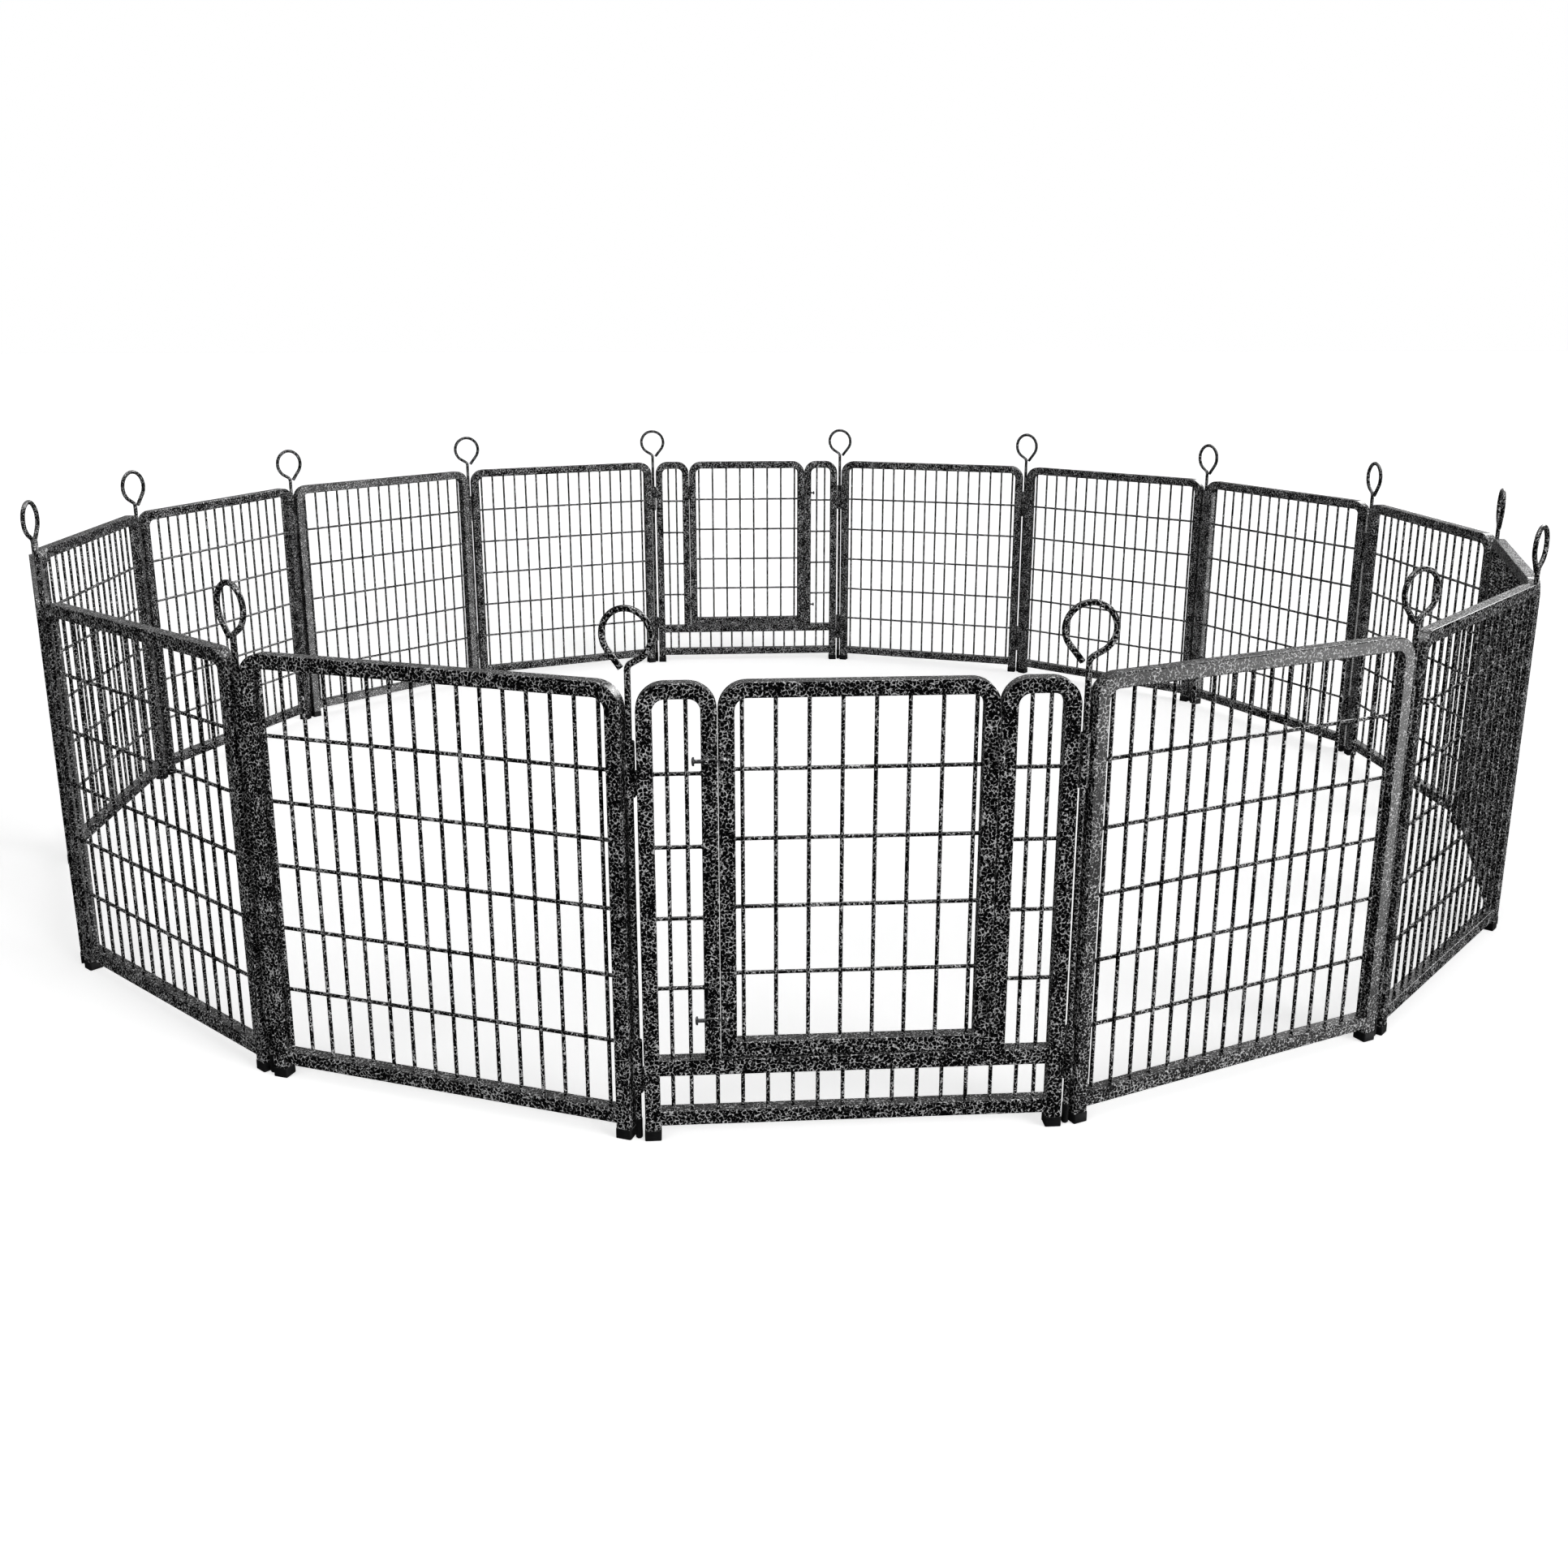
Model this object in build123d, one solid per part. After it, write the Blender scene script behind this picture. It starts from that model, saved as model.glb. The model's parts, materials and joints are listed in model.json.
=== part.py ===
from build123d import *
import math
import os

os.makedirs("parts", exist_ok=True)

# Sixteen-sided folding playpen of welded steel panels, millimetres, +Z up.
# Origin: centre of the ring, on the floor. The front door panel faces -Y.

# ---------------------------------------------------------------- driving dimensions
PANELS = 16                 # panels round the ring
PIN_CIRCLE_R = 1440.0       # radius from the ring's centre to each hinge pin
PANEL_W = 545.5             # outside width of a panel, leg to leg
PANEL_TOP = 609.6           # top of the panel tube above the floor (24 in)

TUBE = 20.0                 # square tube, outside
TUBE_WALL = 0.8
TUBE_R = 1.6                # outside corner radius of the tube's section
ARCH_R = 25.5               # centreline radius of the bent top corners

FOOT = 21.8                 # plastic end cap, outside
FOOT_H = 14.0
FOOT_FLOOR = 2.0            # thickness under the tube
FOOT_GAP = 0.1              # cap to tube, all round

RAIL_LOW_Z = 21.1           # underside of the bottom rail
WIRE_D = 5.2                # grille wire
WIRE_Y = 2.65               # upright wires stand outside, level wires inside
EMBED = 0.4                 # how far a wire's end sinks in the tube's wall

PANEL_WIRE_PITCH = 32.37    # upright wires of a plain panel
PANEL_WIRES = 16
PANEL_LEVELS = [132.2, 223.3, 314.3, 405.4, 496.5]

# door panels
SILL_Z = 91.5               # underside of the door sill rail
SILL_H = 22.0
SEAM = 1.0                  # door leg to wing leg
LEAF_HALF = 173.1           # half of the door leaf's outside width
LEAF_Z = 116.5              # underside of the door leaf
LEAF_WIRE_PITCH = 41.13
LEAF_WIRES = 8
LEAF_LEVELS = [227.4, 317.4, 407.5, 497.6]
WING_WIRES_X = [212.0, 235.8]
WING_LEVELS = [208.6, 303.4, 398.1, 493.0]
GRILLE_WIRES_X = [16.18, 48.55, 80.92, 113.3, 145.66, 178.0, 212.0, 235.8]

# hinge pins between panels
SLEEVE_OD = 13.6
SLEEVE_ID = 11.0
SLEEVE_SPANS = [(66.5, 139.0), (465.8, 536.3)]   # each split between two panels
SLEEVE_SPLIT = 0.8
PIN_D = 8.0
PIN_RING_R = 32.2           # centreline radius of the pull ring
PIN_RING_Z = 667.5          # ring's centre
PIN_NECK_R = 10.0
PIN_NECK_DEG = 30.0         # slope of the neck where it runs into the ring
PIN_TAIL_DEG = 51.6         # slope of the ring's free tail
PIN_TAIL_L = 27.2
TIP_D = 9.4
TIP_H = 29.0

# door hinges, a pair of lift-off barrels on the outside of the seam
BARREL_OD = 10.0
BARREL_Y = -15.4
BARREL_H = 35.0
BARREL_Z = [517.0, 178.0]   # centre heights
BARREL_GAP = 0.6
HPIN_D = 4.8
HPIN_HOLE = 6.4

# slide bolts, outside the other seam
BOLT_Z = [512.9, 170.3]
BOLT_D = 5.0
BOLT_Y = -13.6
BOLT_HEAD_D = 11.3
BOLT_HEAD_T = 3.5
BOLT_HEAD_X = -206.1        # outer face of the knob, drawn back
BOLT_TIP_X = -173.9
GUIDE_OD = 10.0
GUIDE_ID = 6.8

# ---------------------------------------------------------------- derived
TURN = 360.0 / PANELS
PITCH = 2 * PIN_CIRCLE_R * math.sin(math.radians(TURN / 2))
APOTHEM = PIN_CIRCLE_R * math.cos(math.radians(TURN / 2))
HALF_W = PANEL_W / 2
LEG_X = HALF_W - TUBE / 2
INNER_X = HALF_W - TUBE
RAIL_LOW_TOP = RAIL_LOW_Z + TUBE
RAIL_TOP_UNDER = PANEL_TOP - TUBE
RAIL_TOP_C = PANEL_TOP - TUBE / 2
SILL_TOP = SILL_Z + SILL_H
WING_IN = LEAF_HALF + SEAM            # wing's inner leg, face at the seam
WING_LEG_X = WING_IN + TUBE / 2
LEAF_LEG_X = LEAF_HALF - TUBE / 2
LEG_BOTTOM = FOOT_FLOOR + FOOT_GAP
BORE = TUBE - 2 * TUBE_WALL
BORE_R = TUBE_R - TUBE_WALL


def place(k):
    """Panel k's place on the ring: k = 0 is the front, k grows counter-clockwise from above."""
    return Rotation(0, 0, TURN * k) * Location((0, -APOTHEM, 0))


def arch_path(xl, xr, zl, zr, zc, rad):
    pts = [(xl, 0, zl), (xl, 0, zc - rad), (xl + rad, 0, zc), (xr - rad, 0, zc), (xr, 0, zc - rad), (xr, 0, zr)]
    c = math.sqrt(0.5)
    e = [
        Line(pts[0], pts[1]),
        ThreePointArc(pts[1], (xl + rad - rad * c, 0, zc - rad + rad * c), pts[2]),
        Line(pts[2], pts[3]),
        ThreePointArc(pts[3], (xr - rad + rad * c, 0, zc - rad + rad * c), pts[4]),
        Line(pts[4], pts[5]),
    ]
    return Wire([x.edge() if hasattr(x, "edge") else x for x in e])


def arch_tube(xl, xr, zl, zr, zc, rad):
    """Square tube bent into an upside-down U, open at both feet."""
    section = Plane(origin=(xl, 0, zl), z_dir=(0, 0, 1)) * (
        RectangleRounded(TUBE, TUBE, TUBE_R) - RectangleRounded(BORE, BORE, BORE_R)
    )
    return sweep(section, path=arch_path(xl, xr, zl, zr, zc, rad))


def with_rail(frame, inner_x, leg_x, zc):
    """Weld a bottom rail between two legs, its hollow open to theirs."""
    frame = frame + bar_x(TUBE, TUBE, TUBE_R, -inner_x - EMBED, inner_x + EMBED, zc)
    return frame - bar_x(BORE, BORE, BORE_R, -leg_x, leg_x, zc)


def bar_x(depth, height, corner, x0, x1, zc):
    """A rounded bar along X, depth along Y and height along Z, centred on zc."""
    face = Plane(origin=(x0, 0, zc), x_dir=(0, 1, 0), z_dir=(1, 0, 0)) * RectangleRounded(depth, height, corner)
    return extrude(face, amount=x1 - x0, dir=(1, 0, 0))


def rod_z(x, y, z0, z1, d=WIRE_D):
    return Location((x, y, z0)) * Cylinder(d / 2, z1 - z0, align=(Align.CENTER, Align.CENTER, Align.MIN))


def rod_x(z, y, x0, x1, d=WIRE_D):
    return (
        Location((x0, y, z))
        * Rotation(0, 90, 0)
        * Cylinder(d / 2, x1 - x0, align=(Align.CENTER, Align.CENTER, Align.MIN))
    )


def block(x0, x1, y0, y1, z0, z1):
    return Location(((x0 + x1) / 2, (y0 + y1) / 2, (z0 + z1) / 2)) * Box(x1 - x0, y1 - y0, z1 - z0)


def sleeves(side):
    """Sleeve halves on one edge: side +1 is the right edge and holds the upper half of each pair."""
    out = []
    for z0, z1 in SLEEVE_SPANS:
        mid = (z0 + z1) / 2
        a, b = (mid + SLEEVE_SPLIT / 2, z1) if side > 0 else (z0, mid - SLEEVE_SPLIT / 2)
        x = side * PITCH / 2
        tube = rod_z(x, 0, a, b, SLEEVE_OD)
        weld_a, weld_b = HALF_W - EMBED, PITCH / 2 - SLEEVE_OD / 2 + 0.7
        xa, xb = sorted((side * weld_a, side * weld_b))
        web = block(xa, xb, -3, 3, a + 2, b - 2)
        out.append((tube + web) - rod_z(x, 0, a - 1, b + 1, SLEEVE_ID))
    return out


def one(shape):
    """The single solid a welded piece must be."""
    s = shape.solids()
    if len(s) != 1:
        raise ValueError(f"expected one solid, got {len(s)}: {[round(v.volume) for v in s]}")
    return s[0]


# ---------------------------------------------------------------- plain panel
def plain_panel():
    frame = with_rail(
        arch_tube(-LEG_X, LEG_X, LEG_BOTTOM, LEG_BOTTOM, RAIL_TOP_C, ARCH_R), INNER_X, LEG_X, RAIL_LOW_Z + TUBE / 2
    )
    wires = []
    for i in range(PANEL_WIRES):
        x = (i - (PANEL_WIRES - 1) / 2) * PANEL_WIRE_PITCH
        wires.append(rod_z(x, -WIRE_Y, RAIL_LOW_TOP - EMBED, RAIL_TOP_UNDER + EMBED))
    for z in PANEL_LEVELS:
        wires.append(rod_x(z, WIRE_Y, -INNER_X - EMBED, INNER_X + EMBED))
    frame = frame.fuse(*wires[:PANEL_WIRES])
    return one(frame.fuse(*wires[PANEL_WIRES:], *sleeves(1), *sleeves(-1)))


def feet(xs):
    out = []
    for x in xs:
        cup = extrude(Location((x, 0, 0)) * RectangleRounded(FOOT, FOOT, 2.2), FOOT_H)
        hole = extrude(
            Location((x, 0, FOOT_FLOOR)) * RectangleRounded(TUBE + 2 * FOOT_GAP, TUBE + 2 * FOOT_GAP, TUBE_R + FOOT_GAP),
            FOOT_H,
        )
        out.append((cup - hole).solids()[0])
    return Compound(out)


# ---------------------------------------------------------------- door panel
def wing(side):
    """Side wing of a door panel: its long outer leg, bent top, short inner leg and wires. side +1 is the hinge side."""
    xl, xr = (WING_LEG_X, LEG_X) if side > 0 else (-LEG_X, -WING_LEG_X)
    zl, zr = (SILL_TOP, LEG_BOTTOM) if side > 0 else (LEG_BOTTOM, SILL_TOP)
    frame = arch_tube(xl, xr, zl, zr, RAIL_TOP_C, ARCH_R)
    add = []
    for x in WING_WIRES_X:
        add.append(rod_z(side * x, -WIRE_Y, SILL_TOP, RAIL_TOP_UNDER + EMBED))
    for z in WING_LEVELS:
        a, b = sorted((side * (WING_IN + TUBE - EMBED), side * (INNER_X + EMBED)))
        add.append(rod_x(z, WIRE_Y, a, b))
    add += sleeves(side)
    if side > 0:
        for zc in BARREL_Z:
            add.append(knuckle(zc, fixed=True))
    else:
        for z in BOLT_Z:
            add.append(guide(z, -WING_IN - TUBE + 3.0, -WING_IN - 3.0, tail=True))
    return one(frame.fuse(*add))


def knuckle(zc, fixed):
    """Half of a door hinge. The fixed half is the lower one and carries the hinge pin."""
    x = LEAF_HALF + SEAM / 2
    lo, hi = zc - BARREL_H / 2, zc + BARREL_H / 2
    a, b = (lo, zc - BARREL_GAP / 2) if fixed else (zc + BARREL_GAP / 2, hi)
    barrel = rod_z(x, BARREL_Y, a, b, BARREL_OD)
    s = 1 if fixed else -1
    face = -TUBE / 2
    x0, x1 = sorted((x + s * 3.2, x + s * 11.5))
    plate = block(x0, x1, face - 2.4, face + EMBED, a + 1.2, b - 1.2)
    half = barrel + plate
    if fixed:
        pin = rod_z(x, BARREL_Y, b - 3, hi - 2.5, HPIN_D)
        cap = Location((x, BARREL_Y, a)) * Sphere(BARREL_OD / 2 - 0.2)
        half = half + pin + (cap & block(x - 8, x + 8, BARREL_Y - 8, BARREL_Y + 8, a - 2.6, a + 2))
    else:
        half = half - rod_z(x, BARREL_Y, a - 1, hi - 2.0, HPIN_HOLE)
    return one(half)


def guide(z, x0, x1, tail):
    """A short barrel on the leg's outside face that the slide bolt runs in."""
    face = -TUBE / 2
    body = rod_x(z, BOLT_Y, x0, x1, GUIDE_OD) + block(x0 + 0.8, x1 - 0.8, BOLT_Y + 2, face + EMBED, z - 3.4, z + 3.4)
    if tail:
        xm = (x0 + x1) / 2
        body += block(xm - 3.4, xm + 3.4, face - 2.6, face + EMBED, z, z + 21.5)
        body += block(xm - 3.4, xm - 2.0, face - 4.4, face + EMBED, z, z + 21.5)
        body += block(xm + 2.0, xm + 3.4, face - 4.4, face + EMBED, z, z + 21.5)
    body -= rod_x(z, BOLT_Y, x0 - 1, x1 + 1, GUIDE_ID)
    return one(body)


def lower_grille():
    parts = []
    sill_o = bar_x(TUBE, SILL_H, TUBE_R, -INNER_X, INNER_X, SILL_Z + SILL_H / 2)
    sill_i = bar_x(BORE, SILL_H - 2 * TUBE_WALL, BORE_R, -INNER_X - 1, INNER_X + 1, SILL_Z + SILL_H / 2)
    low_o = bar_x(TUBE, TUBE, TUBE_R, -INNER_X, INNER_X, RAIL_LOW_Z + TUBE / 2)
    low_i = bar_x(BORE, BORE, BORE_R, -INNER_X - 1, INNER_X + 1, RAIL_LOW_Z + TUBE / 2)
    sill, low = sill_o - sill_i, low_o - low_i
    for x in GRILLE_WIRES_X:
        for s in (-1, 1):
            parts.append(rod_z(s * x, -WIRE_Y, RAIL_LOW_TOP - EMBED, SILL_Z + EMBED))
    return one(sill.fuse(low, *parts))


def leaf():
    frame = with_rail(
        arch_tube(-LEAF_LEG_X, LEAF_LEG_X, LEAF_Z, LEAF_Z, RAIL_TOP_C, ARCH_R),
        LEAF_HALF - TUBE,
        LEAF_LEG_X,
        LEAF_Z + TUBE / 2,
    )
    add = []
    for i in range(LEAF_WIRES):
        x = (i - (LEAF_WIRES - 1) / 2) * LEAF_WIRE_PITCH
        add.append(rod_z(x, -WIRE_Y, LEAF_Z + TUBE - EMBED, RAIL_TOP_UNDER + EMBED))
    for z in LEAF_LEVELS:
        xi = LEAF_HALF - TUBE + EMBED
        add.append(rod_x(z, WIRE_Y, -xi, xi))
    for zc in BARREL_Z:
        add.append(knuckle(zc, fixed=False))
    for z in BOLT_Z:
        add.append(guide(z, -LEAF_HALF + 1.6, -LEAF_HALF + 13.6, tail=False))
    return one(frame.fuse(*add))


def bolt(z):
    rod = rod_x(z, BOLT_Y, BOLT_HEAD_X + 1.0, BOLT_TIP_X, BOLT_D)
    rod = chamfer(rod.edges().sort_by(Axis.X)[-1], 0.8)
    head = rod_x(z, BOLT_Y, BOLT_HEAD_X, BOLT_HEAD_X + BOLT_HEAD_T, BOLT_HEAD_D)
    head = fillet(head.edges().sort_by(Axis.X)[0], 1.6)
    head = fillet(head.edges().sort_by(Axis.X)[-1], 0.6)
    return one(rod + head)


# ---------------------------------------------------------------- hinge pin with its pull ring and tip
def pull_pin():
    r, zc = PIN_RING_R, PIN_RING_Z
    n, t = math.radians(PIN_NECK_DEG), math.radians(PIN_TAIL_DEG)
    j = (r * math.sin(n), zc - r * math.cos(n))                 # neck meets ring
    knee = j[1] - j[0] * math.tan(n)                            # where the neck's line meets the stem's axis
    tl = PIN_NECK_R * math.tan((math.pi / 2 - n) / 2)
    stem_top = knee - tl
    a = (tl * math.cos(n), knee + tl * math.sin(n))
    turn = math.pi / 2 - n
    m = (PIN_NECK_R * (1 - math.cos(turn / 2)), stem_top + PIN_NECK_R * math.sin(turn / 2))
    k = (-r * math.sin(t), zc - r * math.cos(t))                # ring leaves for the tail
    tail = (k[0] + PIN_TAIL_L * math.cos(t), k[1] - PIN_TAIL_L * math.sin(t))
    p3 = lambda q: (q[0], 0, q[1])
    rod_bottom = 10.1
    edges = [
        Line((0, 0, rod_bottom), (0, 0, stem_top)),
        ThreePointArc((0, 0, stem_top), p3(m), p3(a)),
        Line(p3(a), p3(j)),
        ThreePointArc(p3(j), (0, 0, zc + r), p3(k)),
        Line(p3(k), p3(tail)),
    ]
    path = Wire([e.edge() for e in edges])
    section = Plane(origin=(0, 0, rod_bottom), z_dir=(0, 0, 1)) * Circle(PIN_D / 2)
    rod = one(sweep(section, path=path))
    tip = Cylinder(TIP_D / 2, TIP_H, align=(Align.CENTER, Align.CENTER, Align.MIN))
    tip = fillet(tip.edges().sort_by(Axis.Z)[0], 3.2)
    tip -= rod_z(0, 0, 10.0, TIP_H + 1, PIN_D + 0.2)
    return Location((PITCH / 2, 0, 0)) * Compound([rod, tip.solids()[0]])


# ---------------------------------------------------------------- build and write
def put(shape, name, k):
    export_step(shape.moved(place(k)), f"parts/{name}.step")


panel_shape = plain_panel()
feet_shape = feet([-LEG_X, LEG_X])
pin_shape = pull_pin()
doors = {"wing_left": wing(-1), "wing_right": wing(1), "sill_grille": lower_grille(), "leaf": leaf()}
bolts = {"bolt_upper": bolt(BOLT_Z[0]), "bolt_lower": bolt(BOLT_Z[1])}

for k in range(PANELS):
    if k in (0, PANELS // 2):
        tag = "front_door" if k == 0 else "back_door"
        for name, shape in {**doors, **bolts, "feet": feet_shape}.items():
            put(shape, f"{tag}_{name}", k)
    else:
        put(panel_shape, f"panel_{k:02d}", k)
        put(feet_shape, f"panel_{k:02d}_feet", k)
    put(pin_shape, f"pin_{k:02d}", k)

print("pitch", round(PITCH, 3), "apothem", round(APOTHEM, 3), "panel volume", round(panel_shape.volume))
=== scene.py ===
import json
import math

import bmesh
import bpy
from mathutils import Matrix, Vector

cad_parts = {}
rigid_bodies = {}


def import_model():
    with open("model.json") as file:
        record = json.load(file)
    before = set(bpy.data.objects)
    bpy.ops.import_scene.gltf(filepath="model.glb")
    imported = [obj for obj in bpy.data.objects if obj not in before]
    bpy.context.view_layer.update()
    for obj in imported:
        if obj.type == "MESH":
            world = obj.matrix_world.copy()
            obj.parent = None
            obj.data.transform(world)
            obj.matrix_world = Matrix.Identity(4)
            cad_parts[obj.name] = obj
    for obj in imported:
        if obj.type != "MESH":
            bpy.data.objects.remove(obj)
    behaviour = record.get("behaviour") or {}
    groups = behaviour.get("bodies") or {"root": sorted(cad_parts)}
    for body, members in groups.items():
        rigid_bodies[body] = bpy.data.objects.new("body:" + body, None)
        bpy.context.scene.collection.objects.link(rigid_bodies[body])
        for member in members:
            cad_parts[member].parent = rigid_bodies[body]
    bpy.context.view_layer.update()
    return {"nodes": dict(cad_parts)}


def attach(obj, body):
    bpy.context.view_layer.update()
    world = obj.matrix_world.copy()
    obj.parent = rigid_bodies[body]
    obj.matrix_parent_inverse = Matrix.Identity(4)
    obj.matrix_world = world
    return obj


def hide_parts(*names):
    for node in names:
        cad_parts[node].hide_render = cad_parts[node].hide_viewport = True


for o in list(bpy.data.objects):
    bpy.data.objects.remove(o)

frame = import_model()

# ------------------------------------------------------------------ the ring of panels, in metres
N = 16
TURN = math.radians(360 / N)
R = 1.440
PITCH = 2 * R * math.sin(TURN / 2)
APOTHEM = R * math.cos(TURN / 2)


def place(k):
    return Matrix.Rotation(TURN * k, 4, "Z") @ Matrix.Translation((0, -APOTHEM, 0))


def body_of(k):
    return {0: "front_door", 8: "back_door"}.get(k, f"panel_{k:02d}")


# ------------------------------------------------------------------ materials
class Nodes:
    """Small helper to write node trees in few lines."""

    def __init__(self, name):
        self.mat = bpy.data.materials.new(name)
        self.mat.use_nodes = True
        self.t = self.mat.node_tree
        self.t.nodes.clear()
        self.out = self.add("ShaderNodeOutputMaterial")
        self.bsdf = self.add("ShaderNodeBsdfPrincipled")
        self.link(self.bsdf.outputs["BSDF"], self.out.inputs["Surface"])
        self.coord = self.add("ShaderNodeTexCoord").outputs["Object"]

    def add(self, kind, **values):
        n = self.t.nodes.new(kind)
        for k, v in values.items():
            setattr(n, k, v)
        return n

    def link(self, a, b):
        self.t.links.new(a, b)

    def noise(self, scale, detail=2.0, rough=0.5, vec=None):
        n = self.add("ShaderNodeTexNoise")
        n.inputs["Scale"].default_value = scale
        n.inputs["Detail"].default_value = detail
        n.inputs["Roughness"].default_value = rough
        self.link(vec or self.coord, n.inputs["Vector"])
        return n

    def math(self, op, a, b=None, clamp=False):
        n = self.add("ShaderNodeMath", operation=op, use_clamp=clamp)
        for i, v in enumerate((a, b)):
            if v is None:
                continue
            if isinstance(v, (int, float)):
                n.inputs[i].default_value = v
            else:
                self.link(v, n.inputs[i])
        return n.outputs[0]

    def ramp(self, fac, stops, interp="LINEAR"):
        n = self.add("ShaderNodeValToRGB")
        n.color_ramp.interpolation = interp
        e = n.color_ramp.elements
        while len(e) < len(stops):
            e.new(0.5)
        for el, (p, c) in zip(e, stops):
            el.position = p
            el.color = (c, c, c, 1) if isinstance(c, (int, float)) else (*c, 1)
        self.link(fac, n.inputs["Fac"])
        return n.outputs["Color"]

    def warp(self, scale, amount, vec=None):
        """The coordinates, pushed about by a noise: amount in metres."""
        n = self.noise(scale, 2.0, 0.5, vec)
        off = self.add("ShaderNodeVectorMath", operation="SUBTRACT")
        self.link(n.outputs["Color"], off.inputs[0])
        off.inputs[1].default_value = (0.5, 0.5, 0.5)
        mul = self.add("ShaderNodeVectorMath", operation="SCALE")
        self.link(off.outputs[0], mul.inputs[0])
        mul.inputs["Scale"].default_value = amount
        add = self.add("ShaderNodeVectorMath", operation="ADD")
        self.link(vec or self.coord, add.inputs[0])
        self.link(mul.outputs[0], add.inputs[1])
        return add.outputs[0]

    def bump(self, height, strength, distance):
        n = self.add("ShaderNodeBump")
        n.inputs["Strength"].default_value = strength
        n.inputs["Distance"].default_value = distance
        self.link(height, n.inputs["Height"])
        self.link(n.outputs["Normal"], self.bsdf.inputs["Normal"])


def vein_coat(name, cell=0.0049, silver=0.80):
    """Glossy black powder coat broken into blobs by a network of silver veins that lie a little lower."""
    m = Nodes(name)
    v = m.warp(560, 0.0012, m.warp(210, 0.0022))
    edge = m.add("ShaderNodeTexVoronoi", feature="DISTANCE_TO_EDGE")
    edge.inputs["Scale"].default_value = 1 / cell
    m.link(v, edge.inputs["Vector"])
    width = m.noise(300, 1.5).outputs["Fac"]             # veins swell and pinch out
    patch = m.noise(45, 1.0).outputs["Fac"]              # and are denser in some patches
    d = m.math("ADD", edge.outputs["Distance"], m.math("MULTIPLY", m.math("SUBTRACT", width, 0.5), 0.42))
    d = m.math("ADD", d, m.math("MULTIPLY", m.math("SUBTRACT", patch, 0.5), 0.14))
    vein = m.ramp(d, [(0.0, 1.0), (0.022, 0.60), (0.058, 0.0)], "LINEAR")
    bright = m.ramp(m.noise(480, 1.0).outputs["Fac"], [(0.32, 0.50), (0.66, 1.0)])
    mix = m.add("ShaderNodeMix", data_type="RGBA")
    mix.inputs["A"].default_value = (0.0012, 0.0012, 0.0014, 1)
    mix.inputs["B"].default_value = (silver, silver, silver * 1.01, 1)
    m.link(m.math("MULTIPLY", vein, bright), mix.inputs["Factor"])
    m.link(mix.outputs["Result"], m.bsdf.inputs["Base Color"])
    m.link(m.math("MULTIPLY", vein, 0.25), m.bsdf.inputs["Metallic"])
    m.link(m.ramp(vein, [(0.0, 0.26), (1.0, 0.40)]), m.bsdf.inputs["Roughness"])
    height = m.math("ADD", m.math("MULTIPLY", vein, -1.0), m.math("MULTIPLY", m.noise(700, 2.0).outputs["Fac"], 0.3))
    m.bump(height, 0.25, 0.00022)
    return m.mat


def cap_plastic(name):
    m = Nodes(name)
    fine = m.noise(1500, 3.0, 0.6).outputs["Fac"]
    soft = m.noise(60, 2.0).outputs["Fac"]
    m.link(m.ramp(soft, [(0.3, (0.0045, 0.0045, 0.005)), (0.7, (0.010, 0.010, 0.0105))]), m.bsdf.inputs["Base Color"])
    m.link(m.ramp(fine, [(0.3, 0.42), (0.7, 0.60)]), m.bsdf.inputs["Roughness"])
    m.bsdf.inputs["Specular IOR Level"].default_value = 0.35
    m.bump(m.math("ADD", fine, m.math("MULTIPLY", soft, 0.4)), 0.18, 0.00012)
    return m.mat


def bolt_metal(name):
    """Dark grey coat on a turned bolt, with fine rings along it and bare scuffs."""
    m = Nodes(name)
    ring = m.add("ShaderNodeTexNoise")
    stretch = m.add("ShaderNodeMapping")
    stretch.inputs["Scale"].default_value = (14.0, 0.6, 0.6)
    m.link(m.coord, stretch.inputs["Vector"])
    m.link(stretch.outputs["Vector"], ring.inputs["Vector"])
    ring.inputs["Scale"].default_value = 260
    ring.inputs["Detail"].default_value = 3
    scuff = m.ramp(m.noise(430, 3.0, 0.65).outputs["Fac"], [(0.50, 0.0), (0.66, 1.0)])
    mix = m.add("ShaderNodeMix", data_type="RGBA")
    mix.inputs["A"].default_value = (0.045, 0.045, 0.048, 1)
    mix.inputs["B"].default_value = (0.24, 0.24, 0.245, 1)
    m.link(scuff, mix.inputs["Factor"])
    m.link(mix.outputs["Result"], m.bsdf.inputs["Base Color"])
    m.link(m.math("ADD", m.math("MULTIPLY", scuff, 0.45), 0.35), m.bsdf.inputs["Metallic"])
    m.link(m.ramp(ring.outputs["Fac"], [(0.3, 0.30), (0.7, 0.48)]), m.bsdf.inputs["Roughness"])
    m.bump(m.math("ADD", ring.outputs["Fac"], m.math("MULTIPLY", scuff, 0.3)), 0.22, 0.00012)
    return m.mat


VEIN = vein_coat("vein_coat_frame")
VEIN_FINE = vein_coat("vein_coat_pins", cell=0.0046, silver=0.74)
PLASTIC = cap_plastic("cap_plastic_black")
BOLT = bolt_metal("bolt_dark_metal")

# ------------------------------------------------------------------ mesh helpers


def finish_mesh(bm, name, smooth_deg=40):
    bmesh.ops.remove_doubles(bm, verts=bm.verts, dist=1e-7)
    bmesh.ops.recalc_face_normals(bm, faces=bm.faces)
    me = bpy.data.meshes.new(name)
    bm.to_mesh(me)
    bm.free()
    me.polygons.foreach_set("use_smooth", [True] * len(me.polygons))
    me.set_sharp_from_angle(angle=math.radians(smooth_deg))
    return me


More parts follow.
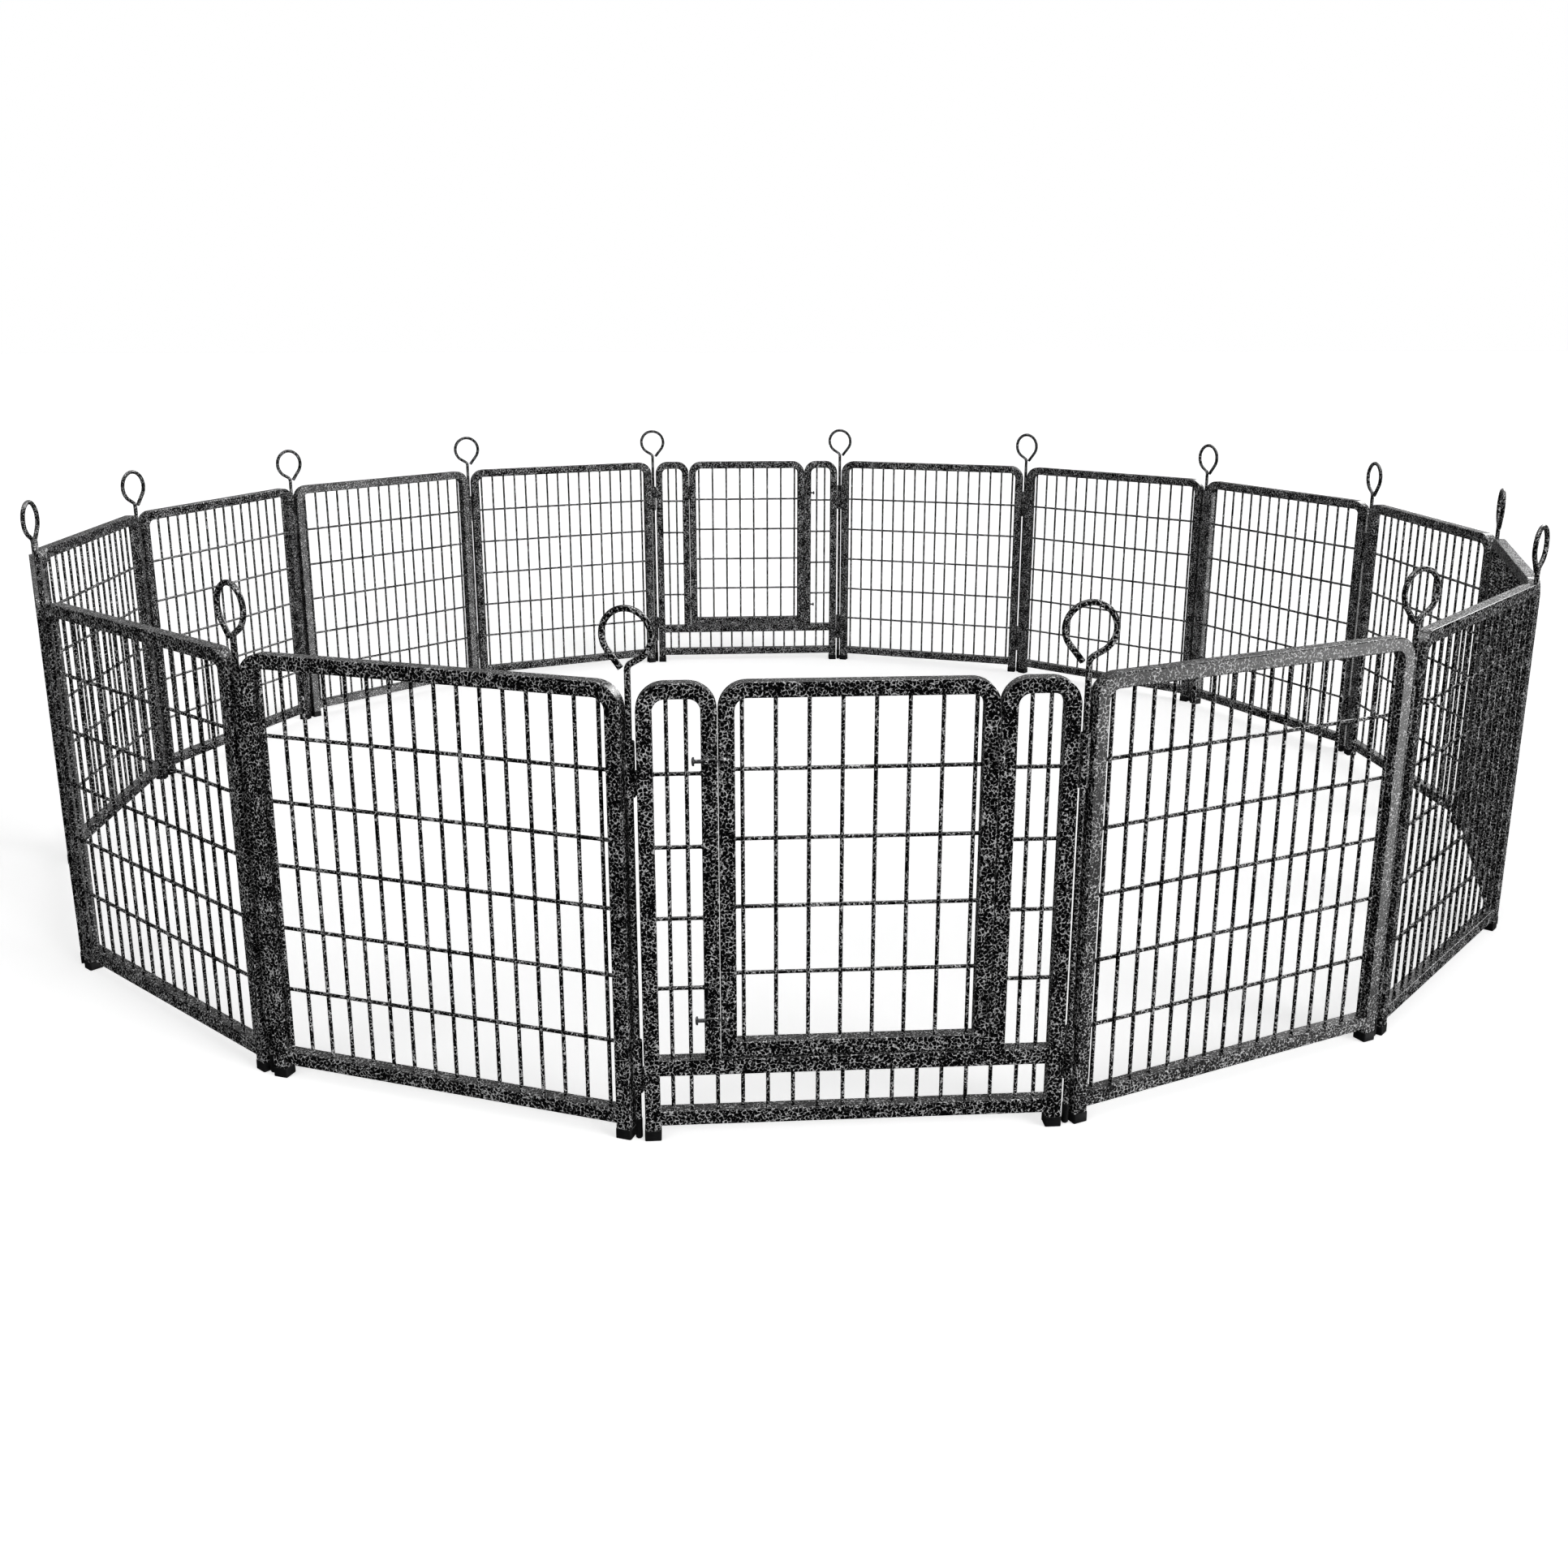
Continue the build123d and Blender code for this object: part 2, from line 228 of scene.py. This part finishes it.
def loft(bm, rings):
    """Skins closed rings of points in order and caps both ends."""
    loops = [[bm.verts.new(p) for p in ring] for ring in rings]
    for a, b in zip(loops, loops[1:]):
        n = len(a)
        for i in range(n):
            bm.faces.new((a[i], a[(i + 1) % n], b[(i + 1) % n], b[i]))
    bm.faces.new(loops[0][::-1])
    bm.faces.new(loops[-1])


def circle(c, u, v, r, n):
    return [c + u * (r * math.cos(2 * math.pi * i / n)) + v * (r * math.sin(2 * math.pi * i / n)) for i in range(n)]


def tube_along(bm, pts, radii, n=20):
    """A tube that follows points in the x-z plane. Radii may differ from point to point."""
    rings = []
    for i, p in enumerate(pts):
        a = pts[max(0, i - 1)]
        b = pts[min(len(pts) - 1, i + 1)]
        d = (b - a).normalized()
        u = Vector((0, 1, 0))
        rings.append(circle(p, d.cross(u).normalized(), u, radii[i], n))
    loft(bm, rings)


def lathe(bm, profile, n=28, axis="Z", centre=(0, 0, 0)):
    """profile: (radius, height) pairs. The first and last may be on the axis."""
    c = Vector(centre)
    u, v, w = {"Z": (Vector((1, 0, 0)), Vector((0, 1, 0)), Vector((0, 0, 1))),
               "X": (Vector((0, 1, 0)), Vector((0, 0, 1)), Vector((1, 0, 0)))}[axis]
    loft(bm, [circle(c + w * h, u, v, max(r, 2e-6), n) for r, h in profile])


def add_piece(name, mesh, mat, matrix, body, slot, *nodes):
    if not mesh.materials:
        mesh.materials.append(mat)
    ob = bpy.data.objects.new(name, mesh)
    ob.matrix_world = matrix
    bpy.context.scene.collection.objects.link(ob)
    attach(ob, body)
    if nodes:
        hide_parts(*nodes)
    return ob


# ------------------------------------------------------------------ hinge pin: one bent rod and a dipped tip
def pin_path():
    r, zc = 0.0322, 0.6675
    n, t = math.radians(30.0), math.radians(51.6)
    neck, tail_l = 0.010, 0.0272
    jx, jz = r * math.sin(n), zc - r * math.cos(n)
    knee = jz - jx * math.tan(n)
    tl = neck * math.tan((math.pi / 2 - n) / 2)
    top = knee - tl
    pts = [Vector((0, 0, z)) for z in (0.0101, 0.0104, 0.15, 0.30, 0.45, 0.58, top - 0.004)]
    turn = math.pi / 2 - n
    for i in range(9):
        a = turn * i / 8
        pts.append(Vector((neck * (1 - math.cos(a)), 0, top + neck * math.sin(a))))
    last = pts[-1]
    for f in (0.33, 0.66):
        pts.append(last.lerp(Vector((jx, 0, jz)), f))
    start, end = -math.pi / 2 + n, 3 * math.pi / 2 - t
    steps = 60
    for i in range(steps + 1):
        a = start + (end - start) * i / steps
        pts.append(Vector((r * math.cos(a), 0, zc + r * math.sin(a))))
    k = pts[-1]
    d = Vector((math.cos(t), 0, -math.sin(t)))
    for f in (0.25, 0.5, 0.75, 0.985, 1.0):
        pts.append(k + d * (tail_l * f))
    return pts


def pin_mesh():
    pts = pin_path()
    radii = [0.0040] * len(pts)
    radii[0] = 0.0036
    radii[-1] = 0.0036
    bm = bmesh.new()
    tube_along(bm, pts, radii, 24)
    return finish_mesh(bm, "pin_rod", 50)


def tip_mesh():
    """Dipped plastic tip: a round nose, a faint waist and a rolled top edge."""
    o, h = 0.0047, 0.029
    prof = [(0.0, 0.0), (0.0011, 0.00006)]
    for i in range(1, 9):
        a = math.pi / 2 * i / 8
        prof.append((o - 0.0034 + 0.0034 * math.sin(a), 0.0034 * (1 - math.cos(a))))
    prof += [(o, 0.0090), (o - 0.00012, 0.0150), (o - 0.00012, 0.0225), (o, 0.0262), (o, h - 0.0006),
             (o - 0.00018, h - 0.00018), (o - 0.00045, h), (0.0041, h - 0.0001), (0.0041, 0.0102), (0.0, 0.0100)]
    bm = bmesh.new()
    lathe(bm, prof, 32)
    return finish_mesh(bm, "pin_tip", 60)


PIN, TIP = pin_mesh(), tip_mesh()
for k in range(N):
    at = place(k) @ Matrix.Translation((PITCH / 2, 0, 0))
    add_piece(f"pin_{k:02d}_rod", PIN, VEIN_FINE, at, f"pin_{k:02d}", "vein_coat", f"pin_{k:02d}")
    add_piece(f"pin_{k:02d}_tip", TIP, PLASTIC, at, f"pin_{k:02d}", "cap_plastic")


# ------------------------------------------------------------------ leg end caps
def square_ring(half, rad, z, per=5):
    pts = []
    for q in range(4):
        cx = (half - rad) * (1 if q in (0, 3) else -1)
        cy = (half - rad) * (1 if q in (0, 1) else -1)
        for i in range(per + 1):
            a = math.pi / 2 * (q + i / per)
            pts.append(Vector((cx + rad * math.cos(a), cy + rad * math.sin(a), z)))
    return pts


def cap_mesh():
    """Push-on cap: chamfered foot, slightly drawn walls, rolled top edge and an open socket."""
    f, h = 0.0109, 0.014
    bm = bmesh.new()
    loft(bm, [
        square_ring(f - 0.0030, 0.0012, 0.0003),
        square_ring(f - 0.0022, 0.0014, 0.0),
        square_ring(f - 0.0008, 0.0019, 0.0),
        square_ring(f - 0.0002, 0.0021, 0.0003),
        square_ring(f, 0.0022, 0.0009),
        square_ring(f, 0.0022, 0.0060),
        square_ring(f - 0.0001, 0.0022, h - 0.0008),
        square_ring(f - 0.0003, 0.0021, h - 0.0002),
        square_ring(f - 0.0006, 0.0018, h),
        square_ring(f - 0.0008, 0.0017, h - 0.0001),
        square_ring(f - 0.0008, 0.0017, 0.0021),
    ])
    return finish_mesh(bm, "leg_cap", 50)


CAP = cap_mesh()
LEG_X = 0.26275
for k in range(N):
    for side, s in (("left", -1), ("right", 1)):
        tag = body_of(k)
        add_piece(f"{tag}_cap_{side}", CAP, PLASTIC, place(k) @ Matrix.Translation((s * LEG_X, 0, 0)), tag,
                  "cap_plastic", f"{tag}_feet")


# ------------------------------------------------------------------ slide bolts
def bolt_mesh(z):
    x0, x1, y = -0.2061, -0.1739, -0.0136
    prof = [(0.0, x0), (0.0020, x0 + 0.00008), (0.0036, x0 + 0.00035)]
    for i in range(1, 7):
        a = math.pi / 2 * i / 6
        prof.append((0.00405 + 0.0016 * math.sin(a), x0 + 0.0005 + 0.0015 * (1 - math.cos(a))))
    prof += [(0.00565, x0 + 0.0029), (0.00545, x0 + 0.0033), (0.0050, x0 + 0.0035), (0.0032, x0 + 0.0035),
             (0.0026, x0 + 0.0039), (0.0025, x0 + 0.0046), (0.0025, x1 - 0.0010), (0.00225, x1 - 0.0004),
             (0.0017, x1), (0.0, x1)]
    bm = bmesh.new()
    lathe(bm, prof, 32, "X", (0, y, z))
    return finish_mesh(bm, "bolt", 45)


for w, z in (("upper", 0.5129), ("lower", 0.1703)):
    me = bolt_mesh(z)
    for k in (0, 8):
        tag = f"{body_of(k)}_bolt_{w}"
        add_piece(f"{tag}_rod", me, BOLT, place(k), tag, "bolt_metal", tag)


# ------------------------------------------------------------------ welds
def nugget(bm, c, rx, ry, rz, n=10):
    """A squashed, closed bead where two wires are pressed together."""
    rings = []
    for i in range(1, 6):
        a = -math.pi / 2 + math.pi * i / 6
        rings.append([Vector((c[0] + rx * math.cos(a) * math.cos(2 * math.pi * j / n),
                              c[1] + ry * math.sin(a),
                              c[2] + rz * math.cos(a) * math.sin(2 * math.pi * j / n))) for j in range(n)])
    loft(bm, rings)


def collar(bm, c, d, r_wire=0.0026, n=14):
    """The small fillet of weld round a wire's end, on the tube's face. d points away from the tube."""
    c, d = Vector(c), Vector(d)
    u = Vector((0, 1, 0))
    v = d.cross(u).normalized()
    prof = [(r_wire + 0.00115, -0.0002), (r_wire + 0.0010, 0.00015), (r_wire + 0.0005, 0.0006), (r_wire + 0.00018, 0.0012),
            (r_wire + 0.00002, 0.0019), (r_wire - 0.0004, 0.0021)]
    loft(bm, [circle(c + d * h, u, v, r, n) for r, h in prof])


def bead(bm, a, b, r, ripple=0.0016, n=10):
    """A rippled run of weld from a to b."""
    a, b = Vector(a), Vector(b)
    length = (b - a).length
    d = (b - a) / length
    u = Vector((0, 1, 0)) if abs(d.y) < 0.9 else Vector((1, 0, 0))
    v = d.cross(u).normalized()
    u = v.cross(d).normalized()
    steps = max(8, int(length / ripple * 4))
    rings = []
    for i in range(steps + 1):
        s = length * i / steps
        end = min(1.0, max(0.0, min(s, length - s)) / r)
        rr = r * (0.35 + 0.65 * math.sqrt(1 - (1 - end) ** 2)) * (1 + 0.11 * math.cos(2 * math.pi * s / ripple))
        rings.append(circle(a + d * s, u, v, rr, n))
    loft(bm, rings)


WY = 0.00265
INNER_X = 0.25275
SLEEVE_X = 0.2738
SLEEVES = [(0.0665, 0.1390), (0.4658, 0.5363)]


def sleeve_welds(bm):
    """Two runs of weld per sleeve, one each side of the web that joins it to the leg."""
    for lo, hi in SLEEVES:
        mid = (lo + hi) / 2
        for s, a, b in ((1, mid + 0.0004, hi), (-1, lo, mid - 0.0004)):
            for y in (-0.0029, 0.0029):
                bead(bm, (s * SLEEVE_X, y, a + 0.005), (s * SLEEVE_X, y, b - 0.005), 0.0009)


def rail_welds(bm, x, z0, z1):
    """Fillets in the inside corners between a rail and the legs."""
    for s in (-1, 1):
        for z in (z0, z1):
            bead(bm, (s * (x - 0.0002), -0.0078, z), (s * (x - 0.0002), 0.0078, z), 0.0010)


def grille_welds(bm, xs, zs, x_end, z_low, z_high):
    for x in xs:
        collar(bm, (x, -WY, z_low), (0, 0, 1))
        collar(bm, (x, -WY, z_high), (0, 0, -1))
        for z in zs:
            nugget(bm, (x, 0, z), 0.0027, 0.0018, 0.0027)
    for z in zs:
        for a, b in x_end:
            collar(bm, (a, WY, z), (1, 0, 0))
            collar(bm, (b, WY, z), (-1, 0, 0))


bm = bmesh.new()
grille_welds(bm, [(i - 7.5) * 0.03237 for i in range(16)], [0.1322, 0.2233, 0.3143, 0.4054, 0.4965],
             [(-INNER_X, INNER_X)], 0.0411, 0.5896)
sleeve_welds(bm)
rail_welds(bm, INNER_X, 0.0413, 0.0209)
PANEL_WELDS = finish_mesh(bm, "panel_welds", 60)

bm = bmesh.new()
for s in (-1, 1):
    xs = [s * 0.2120, s * 0.2358]
    ends = sorted((s * 0.1941, s * INNER_X))
    grille_welds(bm, xs, [0.2086, 0.3034, 0.3981, 0.4930], [tuple(ends)], 0.1135, 0.5896)
for x in (0.01618, 0.04855, 0.08092, 0.1133, 0.14566, 0.178, 0.212, 0.2358):
    for s in (-1, 1):
        collar(bm, (s * x, -WY, 0.0411), (0, 0, 1))
        collar(bm, (s * x, -WY, 0.0915), (0, 0, -1))
sleeve_welds(bm)
rail_welds(bm, INNER_X, 0.0413, 0.0913)
rail_welds(bm, INNER_X, 0.1137, 0.1137)
DOOR_WELDS = finish_mesh(bm, "door_welds", 60)

bm = bmesh.new()
grille_welds(bm, [(i - 3.5) * 0.04113 for i in range(8)], [0.2274, 0.3174, 0.4075, 0.4976],
             [(-0.1531, 0.1531)], 0.1365, 0.5896)
rail_welds(bm, 0.1531, 0.1367, 0.1367)
LEAF_WELDS = finish_mesh(bm, "leaf_welds", 60)

for k in range(N):
    tag = body_of(k)
    add_piece(f"{tag}_welds", DOOR_WELDS if k in (0, 8) else PANEL_WELDS, VEIN, place(k), tag, "vein_coat")
    if k in (0, 8):
        add_piece(f"{tag}_leaf_welds", LEAF_WELDS, VEIN, place(k), f"{tag}_leaf", "vein_coat")

# ------------------------------------------------------------------ the CAD frames keep their shape
for name, o in frame["nodes"].items():
    if name.startswith("pin_") or "_bolt_" in name or name.endswith("_feet"):
        continue
    for s in o.material_slots:
        s.material = VEIN

# ------------------------------------------------------------------ floor, light, camera
floor = bpy.data.meshes.new("floor")
floor.from_pydata([(-40, -40, 0), (40, -40, 0), (40, 40, 0), (-40, 40, 0)], [], [(0, 1, 2, 3)])
fo = bpy.data.objects.new("floor", floor)
bpy.context.scene.collection.objects.link(fo)
fm = Nodes("floor_pale")
fm.link(fm.ramp(fm.noise(1.3, 2.0).outputs["Fac"], [(0.3, (0.90, 0.90, 0.90)), (0.7, (0.92, 0.92, 0.92))]),
        fm.bsdf.inputs["Base Color"])
fm.bsdf.inputs["Roughness"].default_value = 0.9
fm.bsdf.inputs["Emission Color"].default_value = (1, 1, 1, 1)      # lit from below, like a light table
fm.bsdf.inputs["Emission Strength"].default_value = 0.60
fm.bsdf.inputs["Specular IOR Level"].default_value = 0.1
floor.materials.append(fm.mat)

fo.visible_glossy = False        # the coat shows the studio's walls, not the white sweep
fo.visible_diffuse = False

world = bpy.data.worlds.new("studio")
bpy.context.scene.world = world
world.use_nodes = True
wt = world.node_tree
bg = wt.nodes["Background"]


def wnode(kind, **values):
    n = wt.nodes.new(kind)
    for k, v in values.items():
        setattr(n, k, v)
    return n


def wband(socket, lo, hi, amount):
    n = wnode("ShaderNodeMapRange", interpolation_type="SMOOTHSTEP")
    wt.links.new(socket, n.inputs["Value"])
    for k, v in (("From Min", lo), ("From Max", hi), ("To Min", 0.0), ("To Max", amount)):
        n.inputs[k].default_value = v
    return n.outputs["Result"]


def wmath(op, a, b):
    n = wnode("ShaderNodeMath", operation=op)
    for i, v in enumerate((a, b)):
        if isinstance(v, (int, float)):
            n.inputs[i].default_value = v
        else:
            wt.links.new(v, n.inputs[i])
    return n.outputs[0]


# what the gloss sees: a dark room with a pale wall behind, a ceiling light, a lamp behind and one bright screen low on the right
direction = wnode("ShaderNodeTexCoord").outputs["Generated"]
sep = wnode("ShaderNodeSeparateXYZ")
wt.links.new(direction, sep.inputs["Vector"])
screen = wnode("ShaderNodeVectorMath", operation="DOT_PRODUCT")
wt.links.new(direction, screen.inputs[0])
screen.inputs[1].default_value = Vector((0.93, -0.30, -0.19)).normalized()
wall = wmath("MULTIPLY", wband(sep.outputs["Y"], 0.40, 0.90, 0.45), wband(sep.outputs["Z"], 0.02, 0.30, 1.0))
gloss = wmath("ADD", wall, wband(sep.outputs["Z"], 0.80, 0.97, 4.5))
rim = wnode("ShaderNodeVectorMath", operation="DOT_PRODUCT")
wt.links.new(direction, rim.inputs[0])
rim.inputs[1].default_value = Vector((0.62, 0.62, 0.48)).normalized()
gloss = wmath("ADD", gloss, wband(rim.outputs["Value"], 0.950, 0.985, 9.0))
gloss = wmath("ADD", gloss, wband(screen.outputs["Value"], 0.965, 0.999, 4.6))
gloss = wmath("ADD", gloss, 0.015)
path = wnode("ShaderNodeLightPath")
even = wmath("ADD", wmath("MULTIPLY", path.outputs["Is Camera Ray"], 0.84), 0.16)
sel = wnode("ShaderNodeMix", data_type="FLOAT")
wt.links.new(path.outputs["Is Glossy Ray"], sel.inputs["Factor"])
wt.links.new(even, sel.inputs["A"])
wt.links.new(gloss, sel.inputs["B"])
bg.inputs["Color"].default_value = (1.0, 1.0, 1.0, 1)
wt.links.new(sel.outputs["Result"], bg.inputs["Strength"])


def sun(name, towards, strength, spread, gloss):
    """A soft light from far off. towards points from the pen to the light."""
    la = bpy.data.lights.new(name, "SUN")
    la.energy = strength
    la.angle = math.radians(spread)
    ob = bpy.data.objects.new(name, la)
    ob.location = Vector(towards).normalized() * 8
    ob.rotation_euler = (-Vector(towards)).to_track_quat("-Z", "Y").to_euler()
    ob.visible_glossy = gloss
    bpy.context.scene.collection.objects.link(ob)


sun("overhead", (0.05, 0.10, 1.0), 0.22, 80, False)
sun("front_right", (0.75, -0.60, 0.28), 2.35, 35, False)
sun("front_left", (-0.70, -0.70, 0.35), 1.1, 45, False)

cam = bpy.data.cameras.new("camera")
cam.sensor_width = 36.0
cam.lens = 34.91
cam.shift_x = 0.0027
cam.shift_y = -0.0371
cam.clip_end = 200
co = bpy.data.objects.new("camera", cam)
yaw, pitch = -0.0698, 0.2642
fwd = Vector((-math.sin(yaw) * math.cos(pitch), math.cos(yaw) * math.cos(pitch), -math.sin(pitch)))
right = Vector((math.cos(yaw), math.sin(yaw), 0))
up = right.cross(fwd)
m = Matrix((right, up, -fwd)).transposed().to_4x4()
m.translation = Vector((-0.2223, -3.1925, 1.0349))
co.matrix_world = m
bpy.context.scene.collection.objects.link(co)
bpy.context.scene.camera = co

sc = bpy.context.scene
sc.view_settings.view_transform = "Standard"
sc.view_settings.look = "None"
sc.view_settings.exposure = 0.0
